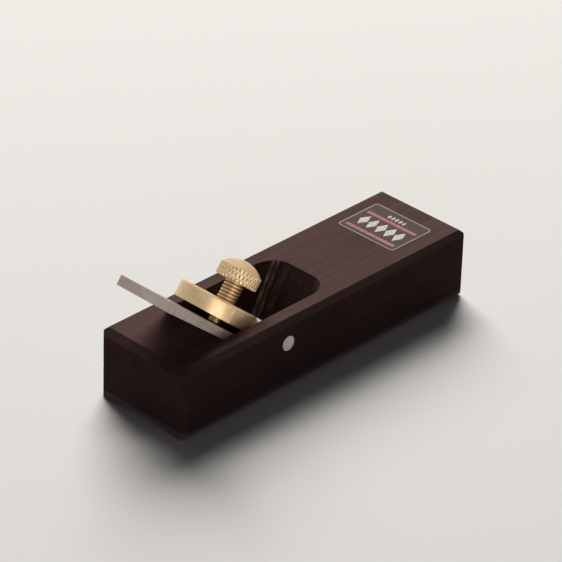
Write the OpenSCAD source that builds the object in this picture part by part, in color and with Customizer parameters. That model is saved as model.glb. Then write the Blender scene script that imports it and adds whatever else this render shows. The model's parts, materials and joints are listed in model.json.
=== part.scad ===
// Small round plane: a dark hardwood stock with a hollow sole, a tapered iron on a sloping bed,
// a brass lever cap under a steel cross pin, and a knurled brass thumb screw through the cap.
// The origin is the middle of the sole. +X points to the toe, +Z up, and -Y to the right hand side.

/* [Stock] */
// Length of the stock from heel to toe
stock_len = 100; // [96:0.5:110]
// Width of the stock
stock_w = 29.8; // [28.5:0.1:33]
// Height of the stock
stock_h = 19.4; // [18.5:0.1:21]

/* [Broken edges of the stock] */
// Chamfer on the two long top edges
long_top_chamfer = 1.5; // [0.5:0.1:2]
// Chamfer on the top edge of the heel
heel_top_chamfer = 1.8; // [0.5:0.1:2.5]
// Chamfer on the top edge of the toe
toe_top_chamfer = 1.1; // [0.5:0.1:2.5]
// Chamfer on the upright corners of the heel
heel_corner_chamfer = 1.6; // [0.5:0.1:2.5]
// Chamfer on the upright corners of the toe
toe_corner_chamfer = 0.8; // [0.4:0.1:2.5]
// Chamfer on the two long edges of the sole
sole_side_chamfer = 1.2; // [0.3:0.1:1.5]
// Chamfer where the sole meets the heel and the toe
sole_end_chamfer = 0.3; // [0.1:0.1:1]

/* [Sole] */
// Radius of the hollow that runs along the sole
hollow_r = 35; // [30:1:60]
// Rise of the hollow at its middle
hollow_rise = 1.6; // [1:0.1:2]

/* [Throat] */
// Slope of the bed that carries the iron, in degrees
bed_angle = 39.4; // [38:0.1:42]
// Distance from the heel to the line where the bed meets the sole
bed_foot = 41.5; // [40:0.5:46]
// Distance from the heel to the front of the throat at the top
throat_front = 55.3; // [54:0.1:60]
// Width between the side walls of the throat
throat_w = 19.8; // [19.2:0.1:21]
// Radius of the front corners of the throat
throat_corner_r = 5.7; // [3:0.1:7]
// Height of the slot for the iron over the bed, which sets the mouth
mouth_depth = 2.2; // [2:0.1:3]

/* [Iron] */
// Width of the iron
iron_w = 18.7; // [16:0.1:19]
// Length of the iron's back from its head to the plane of the sole
iron_back = 53.2; // [50:0.1:54]
// Thickness of the iron at its head
iron_head_t = 2.65; // [2.4:0.05:3]
// Thickness of the iron where the bed meets the sole
iron_foot_t = 1.75; // [1.5:0.05:1.9]
// Angle of the bevel against the iron's upper face, in degrees
bevel_angle = 30; // [27:1:33]
// How far the cutting edge stands out of the hollow of the sole
edge_set = 0.1; // [0:0.05:0.2]

/* [Lever cap] */
// Distance up the iron's face from the cutting edge's line to the screw's axis
screw_up = 26.2; // [25.8:0.1:26.6]
// Height of the cap's flat underside over the iron at the screw's axis
cap_lift = 1.8; // [1.7:0.05:1.9]
// How much steeper the cap lies than the iron's upper face, in degrees
cap_tilt = 0; // [-0.3:0.1:0.6]
// Thickness of the cap
cap_t = 4.4; // [4.2:0.05:4.5]
// Radius of the cap's round rear
cap_r = 9.3; // [9.1:0.05:9.5]
// Distance from the screw's axis back to the centre of the round rear
cap_back = 4.1; // [3.4:0.1:4.5]
// Distance between the two flats on the cap's sides
cap_w = 18; // [17:0.1:18.1]
// Rounding of the cap's upper edge
cap_edge_r = 0.6; // [0.3:0.1:1]
// Distance from the screw's axis to where the sides draw in
taper_start = 0.5; // [0:0.1:3]
// Angle at which the sides draw in towards the nose, in degrees
cap_taper = 12; // [5:1:16]
// Distance from the screw's axis to the nose
cap_reach = 14.4; // [13.8:0.1:14.6]
// Thickness of the nose
nose_t = 1.2; // [0.8:0.1:1.5]
// Length of the land under the nose that bears on the iron
nose_land = 1; // [0.5:0.1:1.5]
// Distance from the screw's axis to the start of the front slope
slope_start = 3; // [2.8:0.1:3.2]
// Distance from the screw's axis to where the underside leaves its flat
relief_end = 4.3; // [3:0.1:6]

/* [Thumb screw] */
// Radius of the screw's threaded shank
screw_r = 2.5; // [2.2:0.05:2.6]
// Radius of the turned-down tip that bears on the iron
tip_r = 1.7; // [1.2:0.05:2]
// Length of shank between the cap and the head
shank_out = 5.15; // [4:0.05:8]
// Outer radius of the knurled head
head_r = 5.5; // [5:0.05:6]
// Height of the head's knurled side
knurl_h = 3.2; // [3:0.1:5]
// Rise of the head's domed top over its side
dome_h = 2.4; // [1:0.1:3]
// How far the dome's rim stays inside the points of the knurl
dome_inset = 0.15; // [0.1:0.01:0.2]
// Number of diamonds around the knurl
knurl_count = 32; // [20:1:40]
// Rows of diamonds along the knurl
knurl_rows = 4; // [2:1:5]
// Depth of the grooves between the diamonds
knurl_depth = 0.35; // [0.2:0.05:0.5]

/* [Cross pin] */
// Radius of the pin
pin_r = 2; // [1.8:0.05:2.1]
// Distance from the heel to the pin's axis
pin_from_heel = 35.5; // [35:0.1:36]
// Height of the pin's axis over the sole
pin_z = 13.1; // [12.8:0.1:13.3]

/* [Fits] */
// How much smaller in radius the pin's hole in the stock is drilled
press = 0.01; // [0:0.005:0.02]
// Radial play of the screw in the cap
screw_play = 0.05; // [0.02:0.01:0.1]
// Gap left where two loose pieces bear on each other
bearing_gap = 0.05; // [0.03:0.01:0.1]

/* [Hidden] */

// Steps in a full turn, and how far a cutter runs past the face it opens
smooth = 96;
past = 2;
// A length that is longer than any slanted cut in the stock
long_cut = 1.2 * stock_len;

heel_x = -stock_len / 2;
toe_x = stock_len / 2;
side_y = stock_w / 2;
foot_x = heel_x + bed_foot;
throat_front_x = heel_x + throat_front;
pin_x = heel_x + pin_from_heel;

// Mouth: the slot for the iron opens this far along the sole, and the front wall leans back to it
mouth_x = foot_x + mouth_depth / sin(bed_angle);
wall_lean = atan((throat_front_x - mouth_x) / stock_h);

// Iron: the upper face is steeper than the bed, because the iron thins towards its edge
iron_thinning = atan((iron_head_t - iron_foot_t) / iron_back);
face_angle = bed_angle + iron_thinning;
function face_x(z) = foot_x + iron_foot_t * sin(bed_angle) + (iron_foot_t * cos(bed_angle) - z) / tan(face_angle);
edge_z = hollow_rise - edge_set;
edge_x = face_x(edge_z);
// The bevel is ground hollow, to a radius that makes the edge follow the hollow of the sole
relief_angle = face_angle - bevel_angle;
grind_r = hollow_r * sin(face_angle) / sin(bevel_angle);

// Lever cap: its frame lies on the flat underside at the screw's axis, with +X down towards the nose
cap_angle = face_angle + cap_tilt;
cap_x = face_x(0) - screw_up * cos(face_angle) + cap_lift * sin(cap_angle);
cap_z = screw_up * sin(face_angle) + cap_lift * cos(cap_angle);
// The iron's upper face in that frame, with the gap that the nose keeps from it
function nose_floor(x) = x * tan(cap_tilt) - cap_lift + bearing_gap;
// The pin in that frame, and the front slope that just clears the pin's round
pin_along = (pin_x - cap_x) * cos(cap_angle) - (pin_z - cap_z) * sin(cap_angle) - slope_start;
pin_over = (pin_x - cap_x) * sin(cap_angle) + (pin_z - cap_z) * cos(cap_angle) - cap_t;
slope_angle = asin((pin_r + bearing_gap) / norm([pin_along, pin_over])) - atan2(pin_over, pin_along);
// The slope ends under the pin's axis, and from there the top falls gently to the nose
slope_end = slope_start + pin_along;
slope_end_z = cap_t - pin_along * tan(slope_angle);
nose_top = nose_floor(cap_reach) + nose_t;
nose_half_w = cap_w / 2 - (cap_reach - taper_start) * tan(cap_taper);
// Where the drawn-in sides would reach the radius of the round rear
taper_root = taper_start - (cap_r - cap_w / 2) / tan(cap_taper);

// Thumb screw: the tip crosses the space under the cap and stops just over the iron
tip_out = cap_lift - bearing_gap - tip_r * tan(cap_tilt);
tip_chamfer = 0.4;
head_z = cap_t + shank_out;
head_chamfer = 0.15;
core_r = head_r - knurl_depth;
// The turned parts of the head stay just inside the flats between the knurl's grooves
turned_step = 0.03;
turned_r = core_r * cos(90 / knurl_count) - turned_step;
dome_base_r = head_r - dome_inset;
dome_r = (dome_base_r * dome_base_r + dome_h * dome_h) / (2 * dome_h);
// How far the head's turned parts reach into the knurl, and the height of the dome's rim
seat = 0.3;
dome_rim = 0.15;

// Places children in the frame of the bed: +X down the slope from the sole's line, +Z off the bed
module on_bed() {
    translate([foot_x, 0, 0])
        rotate([0, bed_angle, 0])
            children();
}

// Places children in the frame of the lever cap
module on_cap() {
    translate([cap_x, 0, cap_z])
        rotate([0, cap_angle, 0])
            children();
}

// Cross-section of the stock, looking along it, with all four long edges broken
module end_outline() {
    polygon([
        [-side_y + sole_side_chamfer, 0],
        [side_y - sole_side_chamfer, 0],
        [side_y, sole_side_chamfer],
        [side_y, stock_h - long_top_chamfer],
        [side_y - long_top_chamfer, stock_h],
        [-side_y + long_top_chamfer, stock_h],
        [-side_y, stock_h - long_top_chamfer],
        [-side_y, sole_side_chamfer],
    ]);
}

// Outline of the stock from the side, with the end edges broken
module side_outline() {
    polygon([
        [heel_x + sole_end_chamfer, 0],
        [toe_x - sole_end_chamfer, 0],
        [toe_x, sole_end_chamfer],
        [toe_x, stock_h - toe_top_chamfer],
        [toe_x - toe_top_chamfer, stock_h],
        [heel_x + heel_top_chamfer, stock_h],
        [heel_x, stock_h - heel_top_chamfer],
        [heel_x, sole_end_chamfer],
    ]);
}

// Outline of the stock from above, with the upright corners broken
module plan_outline() {
    polygon([
        [heel_x + heel_corner_chamfer, -side_y],
        [toe_x - toe_corner_chamfer, -side_y],
        [toe_x, -side_y + toe_corner_chamfer],
        [toe_x, side_y - toe_corner_chamfer],
        [toe_x - toe_corner_chamfer, side_y],
        [heel_x + heel_corner_chamfer, side_y],
        [heel_x, side_y - heel_corner_chamfer],
        [heel_x, -side_y + heel_corner_chamfer],
    ]);
}

// The block that the stock is cut from: the space that the three outlines share
module block() {
    intersection() {
        rotate([90, 0, 90])
            linear_extrude(stock_len, center = true)
                end_outline();
        rotate([90, 0, 0])
            linear_extrude(stock_w, center = true)
                side_outline();
        linear_extrude(stock_h)
            plan_outline();
    }
}

// Outline of the throat square to its front wall: open to the heel, round at the front corners
module throat_outline() {
    corner_y = throat_w / 2 - throat_corner_r;
    translate([-long_cut, -throat_w / 2])
        square([long_cut - throat_corner_r, throat_w]);
    translate([-long_cut, -corner_y])
        square([long_cut, 2 * corner_y]);
    for (side = [-1, 1])
        translate([-throat_corner_r, side * corner_y])
            circle(throat_corner_r, $fn = smooth);
}

// The throat: a rounded slot that leans with the front wall and stops on the bed,
// and a square slot along the bed that lets the iron out through the sole
module throat() {
    intersection() {
        translate([throat_front_x, 0, stock_h])
            rotate([0, wall_lean, 0])
                translate([0, 0, -long_cut / 2])
                    linear_extrude(long_cut)
                        throat_outline();
        on_bed()
            translate([-long_cut, -stock_w / 2, 0])
                cube([2 * long_cut, stock_w, long_cut]);
    }
    on_bed()
        translate([-iron_back, -throat_w / 2, 0])
            cube([iron_back + 2 * mouth_depth + past, throat_w, mouth_depth]);
}

// The hollow along the sole
module sole_hollow() {
    translate([0, 0, hollow_rise - hollow_r])
        rotate([0, 90, 0])
            cylinder(r = hollow_r, h = stock_len + 2 * past, center = true, $fn = 4 * smooth);
}

// A cylinder across the stock, on the pin's axis
module pin_cylinder(r, length) {
    translate([pin_x, 0, pin_z])
        rotate([90, 0, 0])
            cylinder(r = r, h = length, center = true, $fn = smooth);
}

module stock() {
    color([0.23, 0.16, 0.15])
        difference() {
            block();
            sole_hollow();
            throat();
            pin_cylinder(pin_r - press, stock_w + 2 * past);
        }
}

module cross_pin() {
    color([0.72, 0.71, 0.69])
        pin_cylinder(pin_r, stock_w);
}

// The iron: a tapered plate whose lower end is ground back from the cutting edge
module iron() {
    color([0.62, 0.60, 0.57])
        difference() {
            on_bed()
                rotate([90, 0, 0])
                    linear_extrude(iron_w, center = true)
                        polygon([
                            [-iron_back, 0],
                            [-iron_back, iron_head_t],
                            [0, iron_foot_t],
                            [stock_h / 2, iron_foot_t - stock_h / 2 * tan(iron_thinning)],
                            [stock_h / 2, 0],
                        ]);
            translate([edge_x, 0, edge_z])
                rotate([0, relief_angle, 0])
                    translate([0, 0, -grind_r])
                        rotate([0, 90, 0])
                            cylinder(r = grind_r, h = 2 * stock_h, center = true, $fn = 4 * smooth);
        }
}

// One upper corner of the cap's cross-section, out to half the width, with the edge rounded
module cap_half_section(half_w) {
    translate([0, -cap_t])
        square([half_w, 2 * cap_t - cap_edge_r]);
    square([half_w - cap_edge_r, cap_t]);
    translate([half_w - cap_edge_r, cap_t - cap_edge_r])
        circle(cap_edge_r, $fn = smooth);
}

// The cap's bar: the cross-section between the two flats, drawn along the cap
module cap_bar() {
    rotate([90, 0, 90])
        linear_extrude(4 * cap_r, center = true) {
            cap_half_section(cap_w / 2);
            mirror([1, 0])
                cap_half_section(cap_w / 2);
        }
}

// The cap's round rear, turned with the same edge as the bar
module cap_disc() {
    translate([-cap_back, 0, 0])
        rotate_extrude($fn = 2 * smooth)
            cap_half_section(cap_r);
}

// The cap's front from above: parallel sides, then sides that draw in to a straight nose
module cap_front() {
    translate([0, 0, -cap_t])
        linear_extrude(3 * cap_t)
            polygon([
                [-cap_back, -cap_r],
                [taper_root, -cap_r],
                [cap_reach, -nose_half_w],
                [cap_reach, nose_half_w],
                [taper_root, cap_r],
                [-cap_back, cap_r],
            ]);
}

// The cap from the side: flat at the rear, sloping down under the pin, then on to the thin nose
module cap_side() {
    rotate([90, 0, 0])
        linear_extrude(4 * cap_r, center = true)
            polygon([
                [-2 * cap_r, 0],
                [relief_end, 0],
                [cap_reach - nose_land, nose_floor(cap_reach - nose_land)],
                [cap_reach, nose_floor(cap_reach)],
                [cap_reach, nose_top],
                [slope_end, slope_end_z],
                [slope_start, cap_t],
                [-2 * cap_r, cap_t],
            ]);
}

module lever_cap() {
    color([0.80, 0.64, 0.36])
        on_cap()
            difference() {
                intersection() {
                    cap_side();
                    cap_bar();
                    union() {
                        cap_disc();
                        cap_front();
                    }
                }
                translate([0, 0, -past])
                    cylinder(r = screw_r + screw_play, h = cap_t + 2 * past, $fn = smooth);
            }
}

// Knurl: a closed sleeve whose points sit on a lattice. Every second point stands out as the peak
// of a diamond, and the points between them are where the grooves cross.
function knurl_point(i, j) =
    let (
        steps = 2 * knurl_count,
        r = (i + j) % 2 == 1 ? head_r : core_r,
        a = 360 * i / steps
    )
    [r * cos(a), r * sin(a), j * knurl_h / (2 * knurl_rows)];

module knurl() {
    steps = 2 * knurl_count;
    rows = 2 * knurl_rows;
    points = [
        for (j = [0:rows]) for (i = [0:steps - 1]) knurl_point(i, j),
        [0, 0, 0],
        [0, 0, knurl_h],
    ];
    bottom = len(points) - 2;
    top = len(points) - 1;
    faces = [
        for (j = [0:rows - 1]) for (i = [0:steps - 1])
            let (
                a = j * steps + i,
                b = j * steps + (i + 1) % steps,
                c = a + steps,
                d = b + steps
            )
            each ((i + j) % 2 == 0 ? [[a, c, d], [a, d, b]] : [[a, c, b], [b, c, d]]),
        for (i = [0:steps - 1]) [bottom, i, (i + 1) % steps],
        for (i = [0:steps - 1]) [top, rows * steps + (i + 1) % steps, rows * steps + i],
    ];
    polyhedron(points = points, faces = faces);
}

// Half of the dome's outline, with a low rim and a neck that reaches down into the knurl
module dome_outline() {
    translate([0, -seat])
        square([turned_r, seat]);
    translate([0, -dome_rim])
        square([dome_base_r, dome_rim]);
    intersection() {
        translate([0, dome_h - dome_r])
            circle(dome_r, $fn = 2 * smooth);
        square([dome_base_r, dome_h]);
    }
}

module thumb_screw() {
    color([0.83, 0.68, 0.41])
        on_cap() {
            // Tip, with its end chamfered
            translate([0, 0, -tip_out])
                cylinder(r1 = tip_r - tip_chamfer, r2 = tip_r, h = tip_chamfer, $fn = smooth);
            translate([0, 0, tip_chamfer - tip_out])
                cylinder(r = tip_r, h = tip_out, $fn = smooth);
            // Shank, which runs up into the head
            translate([0, 0, seat])
                cylinder(r = screw_r, h = head_z, $fn = smooth);
            // Head: the turned underside, the knurled side and the domed top
            translate([0, 0, head_z])
                cylinder(r1 = turned_r - head_chamfer, r2 = turned_r, h = head_chamfer, $fn = smooth);
            translate([0, 0, head_z + head_chamfer]) {
                cylinder(r = turned_r, h = seat, $fn = smooth);
                knurl();
                translate([0, 0, knurl_h])
                    rotate_extrude($fn = 2 * smooth)
                        dome_outline();
            }
        }
}

stock();
cross_pin();
iron();
lever_cap();
thumb_screw();
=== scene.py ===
"""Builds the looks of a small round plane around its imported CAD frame.

The stock, the cross pin, the iron and the lever cap are softened copies of their CAD nodes. The thumb screw
is turned, threaded and knurled afresh, and a thin film lies on the toe. Sizes are in metres, in the CAD
frame: +X points to the toe, +Z up from the sole, and -Y to the near side.
"""

import json
from math import asin, cos, radians, sin, tau

import bmesh
import bpy
from bpy.props import FloatProperty, FloatVectorProperty, IntProperty, PointerProperty
from mathutils import Matrix, Vector


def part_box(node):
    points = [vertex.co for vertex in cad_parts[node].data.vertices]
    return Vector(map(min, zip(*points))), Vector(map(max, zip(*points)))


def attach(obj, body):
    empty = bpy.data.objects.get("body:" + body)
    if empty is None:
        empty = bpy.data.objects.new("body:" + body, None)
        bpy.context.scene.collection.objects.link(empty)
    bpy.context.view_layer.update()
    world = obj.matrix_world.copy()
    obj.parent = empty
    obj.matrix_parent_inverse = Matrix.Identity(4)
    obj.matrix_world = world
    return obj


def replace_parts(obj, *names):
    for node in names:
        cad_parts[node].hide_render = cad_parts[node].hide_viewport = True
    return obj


bl_info = {
    "name": "Round Plane",
    "version": (1, 0, 0),
    "blender": (4, 5, 0),
    "location": "View3D > Sidebar > Round Plane",
    "description": "Wood, steel and brass for a small round plane",
    "category": "Object",
}

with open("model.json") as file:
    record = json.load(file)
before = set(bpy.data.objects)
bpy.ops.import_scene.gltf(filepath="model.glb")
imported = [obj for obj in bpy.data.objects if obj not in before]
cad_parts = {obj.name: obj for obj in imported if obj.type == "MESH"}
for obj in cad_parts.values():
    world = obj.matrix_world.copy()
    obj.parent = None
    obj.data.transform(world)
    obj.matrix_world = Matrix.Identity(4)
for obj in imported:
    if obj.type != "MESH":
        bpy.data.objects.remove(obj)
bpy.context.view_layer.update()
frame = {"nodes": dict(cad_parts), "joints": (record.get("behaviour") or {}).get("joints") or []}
JOINTS = {joint["name"]: joint for joint in frame["joints"]}

MM = 0.001
# Vertices closer than this become one, and so do faces within this angle of each other
MERGE = 2e-6
FLAT = radians(0.4)
# Edges that turn by more than SHARP are rounded, and long ones from ARRIS on. KEEN spares the cutting edge.
SHARP = radians(28)
ARRIS = radians(9)
ARRIS_LENGTH = 2 * MM
KEEN = radians(140)
# Edges that turn by more than this are shaded sharp
SHADED_SHARP = radians(40)
# How far the floor lies under the sole
FLOOR_DROP = 0.00002

# The throat's front wall: where it begins and ends along the stock, and how far it reaches across
WALL_BACK = -9.2 * MM
WALL_FRONT = 5.2 * MM
WALL_HALF = 9.8 * MM
# Its painted highlight streaks, broken by the chisel marks: a pair and a faint group, by their distance
# across, and half the gap between the pair
HIGHLIGHT_PAIR = 7.6 * MM
HIGHLIGHT_FAINT = 5.0 * MM
HIGHLIGHT_SPREAD = 0.46 * MM
# Height of the lighter band at the foot of the stock: a painted highlight
FOOT_HIGHLIGHT_HEIGHT = 2.8 * MM
# The cross pin is polished up to this distance across
PIN_POLISHED = 14.5 * MM
# Softness of the printed marks' ends
PRINT_BLUR = 0.05 * MM

STEEL_BRIGHT = (0.86, 0.82, 0.76)
BRASS_BRIGHT = (0.94, 0.78, 0.52)
FLOOR_BOUNCE = (0.15, 0.147, 0.143)
WORLD_TINT = (0.95, 0.95, 0.94, 1)
LAMP_TINT = (1.0, 0.98, 0.95)
WINDOW_TINT = (0.88, 0.80, 1.0)
# The main lamp lights the surfaces, and a weaker one at the same place makes the reflections
MAIN_PLACE = (1.20, 1.53, 1.58)

# The screw's frame: +Z along its axis, +X down the cap towards the nose, the origin on the cap's underside
SCREW_AXIS = Vector(JOINTS["screw_turn"]["axis"]).normalized()
CAP_HALF = 2.2 * MM
CAP_FOOT = Vector(JOINTS["screw_turn"]["pos_m"]) - CAP_HALF * SCREW_AXIS
CAP_DOWN = Vector((SCREW_AXIS.z, 0, -SCREW_AXIS.x))
CAP_FRAME = Matrix.Translation(CAP_FOOT) @ Matrix((CAP_DOWN, (0, 1, 0), SCREW_AXIS)).transposed().to_4x4()


def length(name, default, text, **limits):
    """A property for a size in metres."""
    return FloatProperty(name=name, description=text, default=default, unit="LENGTH", precision=5, **limits)


def colour(name, default, text):
    """A property for a colour, in linear light."""
    return FloatVectorProperty(
        name=name, description=text, default=default, subtype="COLOR", size=3, min=0, max=1
    )


class RoundPlaneSizes(bpy.types.PropertyGroup):
    """Sizes that a maker would change."""

    wood_edge: length("Wood edge", 0.22 * MM, "How far the stock's edges are worn round", min=0)
    steel_edge: length("Steel edge", 0.07 * MM, "How far the steel's edges are broken", min=0)
    brass_edge: length("Brass edge", 0.14 * MM, "How far the cap's edges are broken", min=0)
    cap_thickness: length("Cap thickness", 4.4 * MM, "Height at which the screw leaves the cap")
    thread_radius: length("Thread radius", 2.5 * MM, "Radius over the thread's crests")
    thread_depth: length("Thread depth", 0.36 * MM, "Depth of the thread's groove")
    thread_pitch: length("Thread pitch", 0.86 * MM, "Rise of the thread in one turn")
    shank_out: length("Shank", 5.15 * MM, "Length of thread between cap and head")
    tip_radius: length("Tip radius", 1.7 * MM, "Radius of the turned-down tip")
    tip_reach: length("Tip reach", 1.75 * MM, "How far the tip stands out under the cap")
    tip_chamfer: length("Tip chamfer", 0.4 * MM, "Chamfer at the end of the tip")
    head_radius: length("Head radius", 5.5 * MM, "Radius over the points of the knurl")
    head_chamfer: length("Head chamfer", 0.15 * MM, "Chamfer under the head")
    knurl_height: length("Knurl height", 3.2 * MM, "Height of the knurled side")
    knurl_rise: length("Knurl rise", 2.6 * MM, "Height of one diamond of the knurl")
    knurl_depth: length("Knurl depth", 0.28 * MM, "Depth of the knurl where its grooves cross")
    knurl_groove: length("Knurl groove", 0.36 * MM, "Width of the grooves between the diamonds")
    dome_height: length("Dome height", 2.4 * MM, "Rise of the head's domed top")
    dome_inset: length("Dome inset", 0.15 * MM, "How far the dome's rim stays inside the points of the knurl")
    film_length: length("Film length", 14.9 * MM, "Size of the film along the stock")
    film_width: length("Film width", 19.1 * MM, "Size of the film across the stock")
    film_corner: length("Film corner", 1.0 * MM, "Radius of the film's corners")
    film_thickness: length("Film thickness", 0.06 * MM, "Thickness of the film")
    film_from_toe: length("Film from toe", 14.0 * MM, "Distance from the toe to the film's centre")
    film_aside: length("Film aside", 0.45 * MM, "How far the film sits towards the far side")
    knurl_count: IntProperty(name="Knurl count", description="Diamonds around the head", default=32, min=12)


class RoundPlaneColours(bpy.types.PropertyGroup):
    """Colours that a finisher would change."""

    wood_dark: colour("Dark grain", (0.076, 0.044, 0.041), "Darkest streaks of the stock")
    wood_light: colour("Light grain", (0.100, 0.061, 0.054), "Lightest streaks of the stock")
    wood_red: colour("Red grain", (0.106, 0.056, 0.051), "Reddish bands of the stock")
    # Wood along the worn edges, and the painted highlight along the foot of the stock
    wood_worn_and_highlight: colour("Worn edge", (0.215, 0.150, 0.142), "Wood along the worn edges")
    # Painted highlight: the light streaks down the throat's front wall
    wood_streak_highlight: colour("Scored wood", (0.72, 0.54, 0.51), "Score lines down the throat's front wall")
    steel: colour("Steel", (0.50, 0.42, 0.37), "Ground steel of the iron")
    steel_dark: colour("Dark steel", (0.26, 0.20, 0.17), "Speckles and stains on the steel")
    pin: colour("Pin", (0.62, 0.56, 0.51), "Filed ends of the cross pin")
    brass: colour("Brass", (0.80, 0.59, 0.34), "Bright brass")
    # Also the painted shade on the cap's front part, down in the throat
    brass_tarnish_and_shade: colour("Dull brass", (0.40, 0.21, 0.075), "Tarnish in the brass's hollows")
    brass_grime: colour("Grime", (0.22, 0.12, 0.045), "Grime in the pits of the knurl")
    film: colour("Film", (0.088, 0.064, 0.056), "Ground of the film")
    film_line: colour("Film line", (0.74, 0.68, 0.63), "Pale lines and marks of the film")
    film_stripe: colour("Film stripe", (0.48, 0.20, 0.19), "The film's two stripes")
    floor: colour("Floor", (0.80, 0.79, 0.77), "The pale floor")


class Shade:
    """A shader socket on which maths is written as an expression."""

    def __init__(self, tree, socket=None):
        self.tree = tree
        self.socket = socket

    def node(self, kind, inputs=None, output=0, **settings):
        """Adds a node: its settings, then the values or links of its sockets. Returns one of its outputs."""
        made = self.tree.nodes.new("ShaderNode" + kind)
        for field, value in settings.items():
            setattr(made, field, value)
        for name, value in (inputs or {}).items():
            if isinstance(value, Shade):
                self.tree.links.new(value.socket, made.inputs[name])
            else:
                made.inputs[name].default_value = value
        return Shade(self.tree, made.outputs[output])

    def maths(self, operation, *values):
        return self.node("Math", dict(enumerate(values)), operation=operation)

    def __add__(self, other):
        return self.maths("ADD", self, other)

    def __radd__(self, other):
        return self.maths("ADD", other, self)

    def __sub__(self, other):
        return self.maths("SUBTRACT", self, other)

    def __rsub__(self, other):
        return self.maths("SUBTRACT", other, self)

    def __mul__(self, other):
        return self.maths("MULTIPLY", self, other)

    def __abs__(self):
        return self.maths("ABSOLUTE", self)

    def largest(self, other):
        return self.maths("MAXIMUM", self, other)

    def root(self):
        return self.maths("SQRT", self)

    def to_and_fro(self, span):
        """Rises from 0 to the span and falls back again, over and over."""
        return self.maths("PINGPONG", self, span)

    def step(self, low, high):
        """0 below low, 1 above high, and smooth in between."""
        return self.node(
            "MapRange", {"Value": self, "From Min": low, "From Max": high}, interpolation_type="SMOOTHSTEP"
        )

    def within(self, limit, blur):
        """1 where this is nearer to 0 than the limit, 0 beyond it, and smooth over the blur inside it."""
        return (limit - abs(self)).step(0, blur)

    def mix(self, first, second):
        """Goes from the first colour to the second by this factor."""
        inputs = {0: self}
        for slot, value in ((6, first), (7, second)):
            inputs[slot] = value if isinstance(value, Shade) else (*value, 1)
        return self.node("Mix", inputs, output=2, data_type="RGBA")

    def part(self, axis):
        return self.node("SeparateXYZ", {0: self}, output=axis)

    def seen(self):
        """1 for what the camera sees, straight or in a reflection, and 0 for light on other things."""
        straight = self.node("LightPath", output="Is Camera Ray")
        return straight.largest(self.node("LightPath", output="Is Glossy Ray"))


class Finish(Shade):
    """A material: its tree, the point being shaded and its surface shader."""

    def __init__(self, name, **constants):
        self.material = bpy.data.materials.new(name)
        self.material.use_nodes = True
        super().__init__(self.material.node_tree)
        self.surface = self.tree.nodes["Principled BSDF"]
        for socket, value in constants.items():
            self.surface.inputs[socket.replace("_", " ")].default_value = value
        self.point = self.node("TexCoord", output="Object")

    def set(self, **sockets):
        for socket, value in sockets.items():
            self.tree.links.new(value.socket, self.surface.inputs[socket.replace("_", " ")])

    def stretched(self, x, y, z, point=None):
        return self.node("Mapping", {"Vector": point or self.point, "Scale": (x, y, z)})

    def noise(self, point, scale, detail=2.0, rough=0.5, warp=0.0):
        inputs = {"Vector": point, "Scale": scale, "Detail": detail, "Roughness": rough, "Distortion": warp}
        return self.node("TexNoise", inputs)

    def edges(self, radius):
        """1 on the edges and 0 away from them, from how far a rounded normal turns."""
        rounded = self.node("Bevel", {"Radius": radius}, samples=6)
        plain = self.node("NewGeometry", output="Normal")
        return 1 - self.node("VectorMath", {0: rounded, 1: plain}, output="Value", operation="DOT_PRODUCT")

    def bump(self, height, distance):
        return self.node("Bump", {"Height": height, "Distance": distance, "Strength": 1.0})


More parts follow.
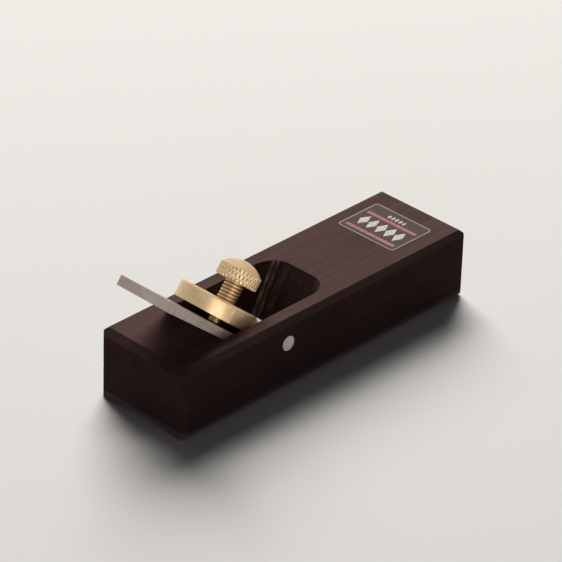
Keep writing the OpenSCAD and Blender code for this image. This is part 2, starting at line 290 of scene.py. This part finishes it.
def wood_finish(colours):
    """Dense dark hardwood: long grain, short pores, worn edges, a painted highlight along the foot, and tool
    marks down the throat with painted highlight streaks on its front wall.
    """
    wood = Finish("stock_hardwood", IOR=1.45, Specular_IOR_Level=0.02)
    bands = wood.noise(wood.stretched(0.06, 1, 1), 330, 3, 0.55, 0.6).step(0.28, 0.74)
    blotch = wood.noise(wood.stretched(0.35, 1, 0.8), 95, 2).step(0.42, 0.66)
    fibre = wood.noise(wood.stretched(0.03, 1, 1), 2600, 3, 0.6)
    pores = wood.noise(wood.stretched(0.07, 1, 1), 4200, 1).step(0.63, 0.70)
    tone = bands.mix(colours.wood_dark, colours.wood_light)
    tone = (blotch * 0.5).mix(tone, colours.wood_red)
    tone = (fibre.step(0.35, 0.7) * 0.2).mix(tone, colours.wood_light)
    tone = (pores * 0.4).mix(tone, colours.wood_dark)

    # The painted highlight streaks lie on the throat's front wall alone, which faces the heel
    facing = wood.node("TexCoord", output="Normal").part("X")
    along = wood.point.part("X")
    across = wood.point.part("Y")
    inside = (along - WALL_BACK).step(0, 0.6 * MM) * (WALL_FRONT - along).step(0, 0.6 * MM)
    wall = inside * (facing * -1).step(0.35, 0.6) * across.within(WALL_HALF, 0.2 * MM)
    chisel = wood.noise(wood.stretched(0.3, 1, 0.07), 1500, 3, 0.6)
    broken = wood.noise(wood.stretched(0.4, 1, 0.22), 1300, 3, 0.7).step(0.36, 0.66)
    pair = (abs(across - HIGHLIGHT_PAIR) - HIGHLIGHT_SPREAD).within(0.5 * MM, HIGHLIGHT_SPREAD)
    faint = (across - HIGHLIGHT_FAINT).within(1.6 * MM, 1.5 * MM)
    painted_streaks = (pair * 0.9 + faint * 0.22) * (broken * 0.7 + chisel.step(0.3, 0.7) * 0.4)
    painted_streaks = painted_streaks + chisel.step(0.5, 0.75) * 0.08
    # Painted highlight: the front wall is lightened along the streaks
    tone = (wall * painted_streaks).mix(tone, colours.wood_streak_highlight)

    edge = wood.edges(0.45 * MM).step(0.02, 0.2)
    patchy = wood.noise(wood.point, 420, 3).step(0.34, 0.66)
    wear = edge * patchy
    # Painted highlight: the stock is lighter along its foot
    foot = (FOOT_HIGHLIGHT_HEIGHT - wood.point.part("Z")).step(0, FOOT_HIGHLIGHT_HEIGHT / 2)
    tone = (wear * 0.4).largest(foot * 0.9).mix(tone, colours.wood_worn_and_highlight)
    rough = 0.56 + fibre * 0.10 - wear * 0.06 + pores * 0.10
    ripple = wood.noise(wood.stretched(0.4, 1, 1), 260, 2)
    height = fibre * 0.3 + pores * -0.6 + wall * chisel * 2.0 + ripple * 1.2
    wood.set(Base_Color=tone, Roughness=rough, Normal=wood.bump(height, 0.05 * MM))
    return wood.material


def steel_finish(name, plain, stained, speckle, polished_to=0.0):
    """Ground steel with fine lines, small dark speckles and bright edges.

    With a distance across, it is smoother up to there.
    """
    steel = Finish(name, Metallic=1.0)
    lines = steel.noise(steel.stretched(1, 0.05, 1), 9000, 2, 0.6)
    spots = steel.noise(steel.point, 2400, 3, 0.65).step(0.56, 0.68)
    cloud = steel.noise(steel.point, 240, 3).step(0.35, 0.7)
    edge = steel.edges(0.15 * MM).step(0.02, 0.25)
    tone = (cloud * 0.3 * speckle).mix(plain, stained)
    tone = (spots * 0.6 * speckle).mix(tone, stained)
    tone = (edge * 0.6).mix(tone, STEEL_BRIGHT)
    rough = 0.38 + lines * 0.12 + spots * 0.12 - edge * 0.12
    if polished_to:
        rough = rough - steel.point.part("Y").within(polished_to, 0.2 * MM) * 0.2
    steel.set(Base_Color=tone, Roughness=rough, Normal=steel.bump(lines - spots, 0.006 * MM))
    return steel.material


def brass_finish(name, colours, turned, knurled=None):
    """Brass with turning lines about the screw's axis, tarnish in the hollows and bright edges.

    With the sizes of a knurled head, the grime in its pits and the dull thread are added. Without them,
    painted shade darkens it from the foot of the cap's front slope on, where the cap sits down in the throat.
    """
    brass = Finish(name, Metallic=1.0)
    place = {"Vector": brass.point, "Location": CAP_FOOT, "Rotation": CAP_FRAME.to_euler()}
    local = brass.node("Mapping", place, vector_type="TEXTURE")
    rings = brass.noise(brass.stretched(0.06, 0.06, 1, local), 7000, 2, 0.6)
    cloud = brass.noise(local, 420, 4, 0.6).step(0.38, 0.7)
    grime = brass.noise(brass.stretched(1, 1, 0.25, local), 1700, 3).step(0.42, 0.7)
    edge = brass.edges(0.2 * MM).step(0.001, 0.01)
    open_air = brass.node("AmbientOcclusion", {"Distance": 0.7 * MM}, output="AO", samples=8, only_local=True)
    hollow = 1 - open_air
    tone = (cloud * 0.22 + grime * 0.10).mix(colours.brass, colours.brass_tarnish_and_shade)
    tone = (hollow.step(0.25, 0.8) * 0.85).mix(tone, colours.brass_tarnish_and_shade)
    if not knurled:
        # Painted shade: the cap darkens towards its nose, down in the throat
        tone = (local.part("X").step(3.9 * MM, 7.5 * MM) * 0.6).mix(tone, colours.brass_tarnish_and_shade)
    tone = (edge * 0.4).mix(tone, BRASS_BRIGHT)
    if knurled:
        low = knurled.cap_thickness + knurled.shank_out + knurled.head_chamfer
        level = local.part("Z")
        band = level.step(low - 0.1 * MM, low) * (low + knurled.knurl_height - level).step(0, 0.1 * MM)
        flat = brass.stretched(1, 1, 0, local)
        out = brass.node("VectorMath", {0: flat}, output="Value", operation="LENGTH")
        pits = (knurled.head_radius - out).step(0.06 * MM, 0.12 * MM)
        tone = (band * pits * 0.5).mix(tone, colours.brass_grime)
        tone = ((low - 0.15 * MM - level).step(0, 0.1 * MM) * 0.35).mix(tone, colours.brass_tarnish_and_shade)
    rough = turned + rings * 0.12 + cloud * 0.08 - edge * 0.06
    brass.set(Base_Color=tone, Roughness=rough, Normal=brass.bump(rings, 0.006 * MM))
    return brass.material


def lozenges(along, across, place, half_pitch, size, reach, blur):
    """A row of lozenges across the film, at a place along it and up to a distance from its middle."""
    shape = (size - abs(along - place) * 0.5 - across.to_and_fro(half_pitch)).step(0, blur)
    return shape * across.within(reach, PRINT_BLUR)


def film_finish(colours, sizes, centre):
    """A thin dark film with a pale rim, two stripes and two rows of lozenges in place of words."""
    film = Finish("toe_film", Specular_IOR_Level=0.10)
    along = film.point.part("X") - centre.x
    across = film.point.part("Y") - centre.y
    corner = sizes.film_corner
    out_x = (abs(along) - (sizes.film_length / 2 - corner)).largest(0)
    out_y = (abs(across) - (sizes.film_width / 2 - corner)).largest(0)
    rim = (out_x * out_x + out_y * out_y).root()
    line = rim.step(corner - 0.34 * MM, corner - 0.26 * MM)
    stripes = (abs(along + 1.4 * MM) - 4.05 * MM).within(0.62 * MM, 0.16 * MM)
    stripes = stripes * across.within(8.3 * MM, PRINT_BLUR)
    large = lozenges(along, across, -1.2 * MM, 1.5 * MM, 1.35 * MM, 7.4 * MM, 0.06 * MM)
    small = lozenges(along, across, 4.65 * MM, 0.62 * MM, 0.5 * MM, 3.0 * MM, 0.05 * MM)
    print_wear = film.noise(film.point, 2200, 3).step(0.30, 0.46)
    tone = (film.noise(film.point, 900, 2) * 0.3).mix(colours.film, colours.wood_dark)
    tone = (stripes * print_wear * 0.9).mix(tone, colours.film_stripe)
    tone = (large.largest(small) * print_wear * 0.9).mix(tone, colours.film_line)
    tone = (line * 0.45).mix(tone, colours.film_line)
    film.set(Base_Color=tone, Roughness=0.5 + film.noise(film.point, 700, 2) * 0.1)
    return film.material


def piece(name, bm, material, body):
    """Makes a finished piece of a bmesh, at the origin, riding on a body."""
    mesh = bpy.data.meshes.new(name)
    bm.to_mesh(mesh)
    bm.free()
    mesh.shade_smooth()
    mesh.set_sharp_from_angle(angle=SHADED_SHARP)
    mesh.materials.append(material)
    made = bpy.data.objects.new(name, mesh)
    bpy.context.scene.collection.objects.link(made)
    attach(made, body)
    return made


def is_arris(edge):
    """Whether an edge is to be rounded: a sharp one, or a long one that is less sharp, but not a blade's."""
    if len(edge.link_faces) != 2:
        return False
    turn = edge.calc_face_angle()
    return turn < KEEN and (turn > SHARP or (turn > ARRIS and edge.calc_length() > ARRIS_LENGTH))


def soften(node, width, material, body):
    """Replaces a CAD node by a copy of it with rounded edges."""
    bm = bmesh.new()
    bm.from_mesh(frame["nodes"][node].data)
    bmesh.ops.remove_doubles(bm, verts=bm.verts, dist=MERGE)
    bmesh.ops.dissolve_limit(bm, angle_limit=FLAT, verts=bm.verts, edges=bm.edges)
    bmesh.ops.bevel(
        bm,
        geom=[e for e in bm.edges if is_arris(e)],
        offset=width,
        offset_type="OFFSET",
        segments=3,
        profile=0.5,
        affect="EDGES",
        clamp_overlap=True,
        material=-1,
    )
    made = piece("soft_" + node, bm, material, body)
    made.modifiers.new("even_shading", "WEIGHTED_NORMAL").keep_sharp = True
    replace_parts(made, node)


def lathe(bm, outline, steps):
    """Turns an outline of (radius, height) points about the Z axis into a closed shell."""
    verts = [bm.verts.new((radius, 0, height)) for radius, height in outline]
    edges = [bm.edges.new(pair) for pair in zip(verts, verts[1:])]
    bmesh.ops.spin(
        bm, geom=verts + edges, cent=(0, 0, 0), axis=(0, 0, 1), angle=tau, steps=steps, use_merge=True
    )


def thread(bm, sizes, low, high, steps=40):
    """Sweeps one tooth round a helix, and trims the rod it makes at two heights."""
    crest, root, pitch = sizes.thread_radius, sizes.thread_radius - sizes.thread_depth, sizes.thread_pitch
    # Radius, and height as a share of the pitch
    tooth = [(root, 0), (root, 0.06), (crest, 0.30), (crest, 0.78), (root, 1)]
    turns = int((high - low) / pitch) + 3
    start = low - 1.5 * pitch
    verts = [bm.verts.new((radius, 0, start + rise * pitch)) for radius, rise in tooth]
    edges = [bm.edges.new(pair) for pair in zip(verts, verts[1:])]
    count = steps * turns
    step = (0, 0, pitch / steps)
    bmesh.ops.spin(
        bm, geom=verts + edges, cent=(0, 0, 0), axis=(0, 0, 1), dvec=step, angle=tau * turns, steps=count
    )
    bmesh.ops.remove_doubles(bm, verts=bm.verts, dist=MERGE)
    trim(bm, low, high)
    bmesh.ops.holes_fill(bm, edges=[e for e in bm.edges if e.is_boundary])


def trim(bm, low, high):
    """Cuts a shape off below one height and above another."""
    for height, side in ((low, -1), (high, 1)):
        geom = bm.verts[:] + bm.edges[:] + bm.faces[:]
        bmesh.ops.bisect_plane(
            bm, geom=geom, plane_co=(0, 0, height), plane_no=(0, 0, side), clear_outer=True
        )


def to_radius(verts, radius):
    """Moves vertices straight out from the Z axis, or in, to one radius."""
    for vert in verts:
        flat = vert.co.xy.normalized() * radius
        vert.co = (flat.x, flat.y, vert.co.z)


def knurl(bm, sizes, low):
    """A ring of raised diamonds: a band of squares, poked and joined across, each diamond inset and raised.

    The band is made higher than the head on either side and then trimmed. The grooves' middles stand a little
    out from where they cross.
    """
    root = sizes.head_radius - sizes.knurl_depth
    middle = low + sizes.knurl_height / 2
    verts = [bm.verts.new((root, 0, middle + row * sizes.knurl_rise)) for row in (-1.5, -0.5, 0.5, 1.5)]
    edges = [bm.edges.new(pair) for pair in zip(verts, verts[1:])]
    bmesh.ops.spin(
        bm,
        geom=verts + edges,
        cent=(0, 0, 0),
        axis=(0, 0, 1),
        angle=tau,
        steps=sizes.knurl_count,
        use_merge=True,
    )
    squares = [e for e in bm.edges if not e.is_boundary]
    bmesh.ops.poke(bm, faces=bm.faces)
    bmesh.ops.dissolve_edges(bm, edges=squares, use_verts=False)
    to_radius(bm.verts, root)
    inward = [f for f in bm.faces if f.normal.xy.dot(f.calc_center_median().xy) < 0]
    bmesh.ops.reverse_faces(bm, faces=inward)
    bmesh.ops.bisect_edges(bm, edges=[e for e in bm.edges if not e.is_boundary], cuts=2)
    between = [v for v in bm.verts if len(v.link_edges) == 2]
    to_radius(between, root + 0.7 * sizes.knurl_depth)
    grooves = set(bm.verts)
    bmesh.ops.inset_individual(bm, faces=bm.faces, thickness=sizes.knurl_groove / 2, use_even_offset=True)
    to_radius([v for v in bm.verts if v not in grooves], sizes.head_radius)
    tops = [f for f in bm.faces if all(v not in grooves for v in f.verts)]
    bmesh.ops.triangulate(bm, faces=tops, quad_method="LONG_EDGE")
    trim(bm, low, low + sizes.knurl_height)


class Dresser:
    """What every operator of the plane shares."""

    bl_options = {"REGISTER", "UNDO"}

    @property
    def sizes(self):
        return bpy.context.scene.round_plane_sizes

    @property
    def colours(self):
        return bpy.context.scene.round_plane_colours


class ROUNDPLANE_OT_stock(Dresser, bpy.types.Operator):
    """Dresses the wooden stock"""

    bl_idname = "roundplane.stock"
    bl_label = "Stock"

    def execute(self, context):
        soften("stock", self.sizes.wood_edge, wood_finish(self.colours), "stock")
        return {"FINISHED"}


class ROUNDPLANE_OT_cross_pin(Dresser, bpy.types.Operator):
    """Dresses the steel pin that crosses the throat"""

    bl_idname = "roundplane.cross_pin"
    bl_label = "Cross Pin"

    def execute(self, context):
        steel = steel_finish("pin_filed_steel", self.colours.pin, self.colours.steel_dark, 0.5, PIN_POLISHED)
        soften("cross_pin", self.sizes.steel_edge, steel, "stock")
        return {"FINISHED"}


class ROUNDPLANE_OT_iron(Dresser, bpy.types.Operator):
    """Dresses the tapered iron"""

    bl_idname = "roundplane.iron"
    bl_label = "Iron"

    def execute(self, context):
        steel = steel_finish("iron_ground_steel", self.colours.steel, self.colours.steel_dark, 1.0)
        soften("iron", self.sizes.steel_edge, steel, "iron")
        return {"FINISHED"}


class ROUNDPLANE_OT_lever_cap(Dresser, bpy.types.Operator):
    """Dresses the brass lever cap"""

    bl_idname = "roundplane.lever_cap"
    bl_label = "Lever Cap"

    def execute(self, context):
        brass = brass_finish("cap_worn_brass", self.colours, 0.30)
        soften("lever_cap", self.sizes.brass_edge, brass, "lever_cap")
        return {"FINISHED"}


class ROUNDPLANE_OT_thumb_screw(Dresser, bpy.types.Operator):
    """Turns, threads and knurls the thumb screw"""

    bl_idname = "roundplane.thumb_screw"
    bl_label = "Thumb Screw"

    def execute(self, context):
        sizes = self.sizes
        head = sizes.cap_thickness + sizes.shank_out
        side = head + sizes.head_chamfer
        shoulder = side + sizes.knurl_height
        root = sizes.head_radius - sizes.knurl_depth
        rim = sizes.head_radius - sizes.dome_inset
        sphere = (rim * rim + sizes.dome_height**2) / (2 * sizes.dome_height)
        bm = bmesh.new()
        thread(bm, sizes, 0.3 * MM, head + sizes.head_chamfer)
        foot = -sizes.tip_reach
        lathe(
            bm,
            [
                (0, foot),
                (sizes.tip_radius - sizes.tip_chamfer, foot),
                (sizes.tip_radius, foot + sizes.tip_chamfer),
                (sizes.tip_radius, sizes.tip_chamfer),
                (0, sizes.tip_chamfer),
            ],
            steps=48,
        )
        lean = asin(rim / sphere)
        rings = 14
        arc = [lean * (1 - ring / rings) for ring in range(rings + 1)]
        dome = [(sphere * sin(a), shoulder + sizes.dome_height - sphere + sphere * cos(a)) for a in arc]
        # The turned core stays just inside the knurl, and the knurl's ends are closed inside the core
        waist = root - 0.04 * MM
        lathe(
            bm,
            [
                (0, head),
                (waist - sizes.head_chamfer, head),
                (waist, side),
                (waist, shoulder - sizes.dome_inset),
                (rim, shoulder - 0.03 * MM),
                *dome,
            ],
            steps=128,
        )
        band = bmesh.new()
        knurl(band, sizes, side)
        grown = bmesh.ops.extrude_edge_only(band, edges=[e for e in band.edges if e.is_boundary])["geom"]
        to_radius([v for v in grown if isinstance(v, bmesh.types.BMVert)], waist - 1.0 * MM)
        bmesh.ops.bridge_loops(band, edges=[e for e in band.edges if e.is_boundary])
        holder = bpy.data.meshes.new("knurl")
        band.to_mesh(holder)
        band.free()
        bm.from_mesh(holder)
        bpy.data.meshes.remove(holder)
        bmesh.ops.remove_doubles(bm, verts=bm.verts, dist=MERGE)
        bmesh.ops.recalc_face_normals(bm, faces=bm.faces)
        bmesh.ops.transform(bm, matrix=CAP_FRAME, verts=bm.verts)
        brass = brass_finish("screw_turned_brass", self.colours, 0.36, sizes)
        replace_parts(piece("turned_thumb_screw", bm, brass, "thumb_screw"), "thumb_screw")
        return {"FINISHED"}


class ROUNDPLANE_OT_film(Dresser, bpy.types.Operator):
    """Lays the thin film on top of the toe"""

    bl_idname = "roundplane.film"
    bl_label = "Film"

    def execute(self, context):
        sizes = self.sizes
        _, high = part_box("stock")
        centre = Vector((high.x - sizes.film_from_toe, sizes.film_aside, high.z))
        bm = bmesh.new()
        bmesh.ops.create_grid(bm, x_segments=1, y_segments=1, size=0.5)
        bmesh.ops.scale(bm, vec=(sizes.film_length, sizes.film_width, 1), verts=bm.verts)
        bmesh.ops.bevel(
            bm,
            geom=bm.verts[:],
            offset=sizes.film_corner,
            offset_type="OFFSET",
            segments=8,
            profile=0.5,
            affect="VERTICES",
            clamp_overlap=True,
            material=-1,
        )
        grown = bmesh.ops.extrude_face_region(bm, geom=bm.faces[:])["geom"]
        raised = [v for v in grown if isinstance(v, bmesh.types.BMVert)]
        bmesh.ops.translate(bm, vec=(0, 0, sizes.film_thickness), verts=raised)
        bmesh.ops.recalc_face_normals(bm, faces=bm.faces)
        bmesh.ops.translate(bm, vec=centre, verts=bm.verts)
        piece("toe_film", bm, film_finish(self.colours, sizes, centre), "stock")
        return {"FINISHED"}


class ROUNDPLANE_OT_stage(Dresser, bpy.types.Operator):
    """Sets the pale floor, the lamps, the world and the camera"""

    bl_idname = "roundplane.stage"
    bl_label = "Stage"

    def execute(self, context):
        scene = context.scene
        scene.view_settings.view_transform = "Standard"
        self.lay_floor(scene)
        main = self.hang_lamp(scene, "main_lamp", MAIN_PLACE, 1.75, 104)
        main.visible_glossy = False
        glint = self.hang_lamp(scene, "main_glint", MAIN_PLACE, 2.20, 29)
        glint.visible_diffuse = False
        window = self.hang_lamp(scene, "window", (-0.70, -0.49, 0.14), 0.40, 0.54)
        window.data.color = WINDOW_TINT
        card = self.hang_lamp(scene, "side_card", (-0.31, -0.585, 0.21), 0.46, 0.9)
        card.visible_diffuse = False
        self.light_world(scene)
        self.place_camera(scene)
        return {"FINISHED"}

    def lay_floor(self, scene):
        bm = bmesh.new()
        bmesh.ops.create_grid(bm, x_segments=1, y_segments=1, size=3.0)
        bmesh.ops.translate(bm, vec=(0, 0, -FLOOR_DROP), verts=bm.verts)
        mesh = bpy.data.meshes.new("floor")
        bm.to_mesh(mesh)
        bm.free()
        floor = bpy.data.objects.new("floor", mesh)
        scene.collection.objects.link(floor)
        paint = Finish("floor_paint", Roughness=0.9, Specular_IOR_Level=0.1)
        paint.set(Base_Color=paint.seen().mix(FLOOR_BOUNCE, self.colours.floor))
        mesh.materials.append(paint.material)

    def hang_lamp(self, scene, name, place, size, power):
        """A square lamp that points at the origin."""
        lamp = bpy.data.lights.new(name, "AREA")
        lamp.size = size
        lamp.energy = power
        lamp.color = LAMP_TINT
        hung = bpy.data.objects.new(name, lamp)
        hung.location = place
        hung.rotation_mode = "QUATERNION"
        hung.rotation_quaternion = Vector(place).to_track_quat("Z", "Y")
        scene.collection.objects.link(hung)
        return hung

    def light_world(self, scene):
        world = bpy.data.worlds.new("studio")
        world.use_nodes = True
        scene.world = world
        sky = Shade(world.node_tree)
        strength = 0.03 + sky.seen() * 0.62
        back = world.node_tree.nodes["Background"]
        back.inputs["Color"].default_value = WORLD_TINT
        world.node_tree.links.new(strength.socket, back.inputs["Strength"])

    def place_camera(self, scene):
        """The camera that the photograph's edges give."""
        turn, rise, roll = radians(-46.627), radians(31.069), radians(1.849)
        aside, up_shift, distance = 1.245 * MM, 7.471 * MM, 919.656 * MM
        sensor_mm, distance_mm, pixels_per_mm, photo_width = 36.0, 919.656, 4.007, 562
        back = Vector((sin(turn) * cos(rise), -cos(turn) * cos(rise), sin(rise)))
        level = Vector((cos(turn), sin(turn), 0))
        upright = back.cross(level)
        right = cos(roll) * level + sin(roll) * upright
        up = -sin(roll) * level + cos(roll) * upright
        middle = Vector((0, 0, 9.662 * MM))
        data = bpy.data.cameras.new("camera")
        data.sensor_width = sensor_mm
        data.lens = sensor_mm * pixels_per_mm * distance_mm / photo_width
        camera = bpy.data.objects.new("camera", data)
        place = middle - aside * right + up_shift * up + distance * back
        camera.matrix_world = Matrix.Translation(place) @ Matrix((right, up, back)).transposed().to_4x4()
        scene.collection.objects.link(camera)
        scene.camera = camera


class ROUNDPLANE_PT_panel(bpy.types.Panel):
    """Lists the plane's sizes, colours and steps"""

    bl_label = "Round Plane"
    bl_idname = "ROUNDPLANE_PT_panel"
    bl_space_type = "VIEW_3D"
    bl_region_type = "UI"
    bl_category = "Round Plane"

    def draw(self, context):
        for group in (context.scene.round_plane_sizes, context.scene.round_plane_colours):
            box = self.layout.box()
            for name in group.__annotations__:
                box.prop(group, name)
        for step in STEPS:
            self.layout.operator(step.bl_idname)


STEPS = (
    ROUNDPLANE_OT_stock,
    ROUNDPLANE_OT_cross_pin,
    ROUNDPLANE_OT_iron,
    ROUNDPLANE_OT_lever_cap,
    ROUNDPLANE_OT_thumb_screw,
    ROUNDPLANE_OT_film,
    ROUNDPLANE_OT_stage,
)
CLASSES = (RoundPlaneSizes, RoundPlaneColours, *STEPS, ROUNDPLANE_PT_panel)


def register():
    for cls in CLASSES:
        bpy.utils.register_class(cls)
    bpy.types.Scene.round_plane_sizes = PointerProperty(type=RoundPlaneSizes)
    bpy.types.Scene.round_plane_colours = PointerProperty(type=RoundPlaneColours)


def unregister():
    del bpy.types.Scene.round_plane_colours
    del bpy.types.Scene.round_plane_sizes
    for cls in reversed(CLASSES):
        bpy.utils.unregister_class(cls)


def main():
    """Runs every step in order."""
    register()
    for step in STEPS:
        group, name = step.bl_idname.split(".")
        getattr(getattr(bpy.ops, group), name)()
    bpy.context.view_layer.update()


if __name__ == "__main__":
    main()
